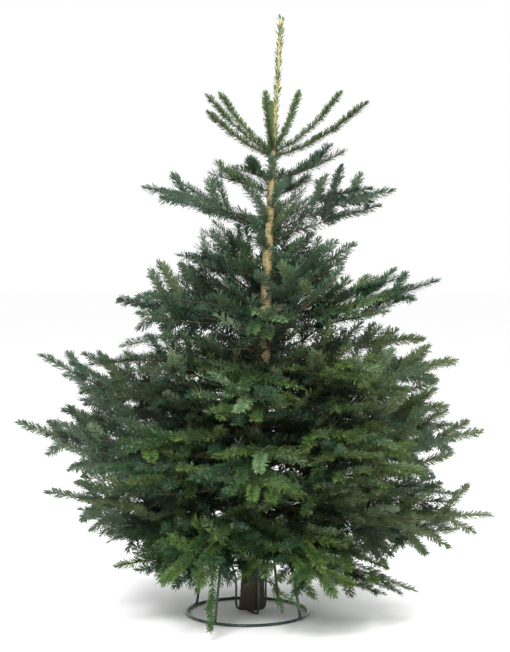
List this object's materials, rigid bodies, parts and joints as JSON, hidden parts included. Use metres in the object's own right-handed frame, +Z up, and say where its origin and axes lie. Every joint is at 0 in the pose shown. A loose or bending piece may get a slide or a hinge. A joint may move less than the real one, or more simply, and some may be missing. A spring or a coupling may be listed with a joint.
{
  "type": "christmas tree",
  "caption": "Cut fir tree with a slim leader, tiered boughs of flat sprays and a leaning trunk, upright in a round-bar ring stand.",
  "frame": {"origin": "on the floor, under the middle of the tree and its stand taken together (bottom centre of the bounding box)", "axes": "+Z up along the tree, +X to the right of its good side, -Y towards whoever looks at it"},
  "size_m": [1.5704, 1.2516, 2],
  "materials": {
    "bark": "smooth young bark, yellow-tan above and dark brown at the foot",
    "foliage": "dense flat needles, glossy dark green above, paler beneath",
    "top_foliage": "short upright needles, blue-green",
    "green_enamel": "glossy dark green stove enamel",
    "zinc_plate": "bright zinc plate"
  },
  "bodies": {
    "root": {"hook_right": "foliage", "low_back_left": "foliage", "low_back_right": "foliage", "low_front_left": "foliage", "low_front_right": "foliage", "low_left": "foliage", "low_right": "foliage", "lower_back_left": "foliage", "lower_back_right": "foliage", "lower_front": "foliage", "lower_front_left": "foliage", "lower_front_right": "foliage", "lower_left": "foliage", "lower_right": "foliage", "middle_back": "foliage", "middle_front": "foliage", "middle_front_left": "foliage", "middle_front_right": "foliage", "middle_left": "foliage", "middle_right": "foliage", "shoulder_back": "foliage", "shoulder_back_bough": "bark", "shoulder_front": "foliage", "shoulder_left": "foliage", "shoulder_left_bough": "bark", "shoulder_right": "foliage", "shoulder_right_bough": "bark", "skirt_back": "foliage", "skirt_left": "foliage", "skirt_right": "foliage", "stand_collar": "green_enamel", "stand_cradle_1": "green_enamel", "stand_cradle_2": "green_enamel", "stand_leg_1": "green_enamel", "stand_leg_2": "green_enamel", "stand_leg_3": "green_enamel", "stand_leg_4": "green_enamel", "stand_ring": "green_enamel", "stand_screw_1": "zinc_plate", "stand_screw_2": "zinc_plate", "stand_screw_3": "zinc_plate", "top_shoot_1": "top_foliage", "top_shoot_2": "top_foliage", "top_shoot_3": "top_foliage", "top_shoot_4": "top_foliage", "top_shoot_5": "top_foliage", "top_shoot_6": "top_foliage", "top_shoot_7": "top_foliage", "top_shoot_8": "top_foliage", "trunk": "bark", "upper_back": "foliage", "upper_front": "foliage", "upper_left": "foliage", "upper_right": "foliage", "waist_back": "foliage", "waist_front": "foliage", "waist_left": "foliage", "waist_left_bough": "bark", "waist_right": "foliage", "waist_right_bough": "bark"}
  },
  "joints": []
}
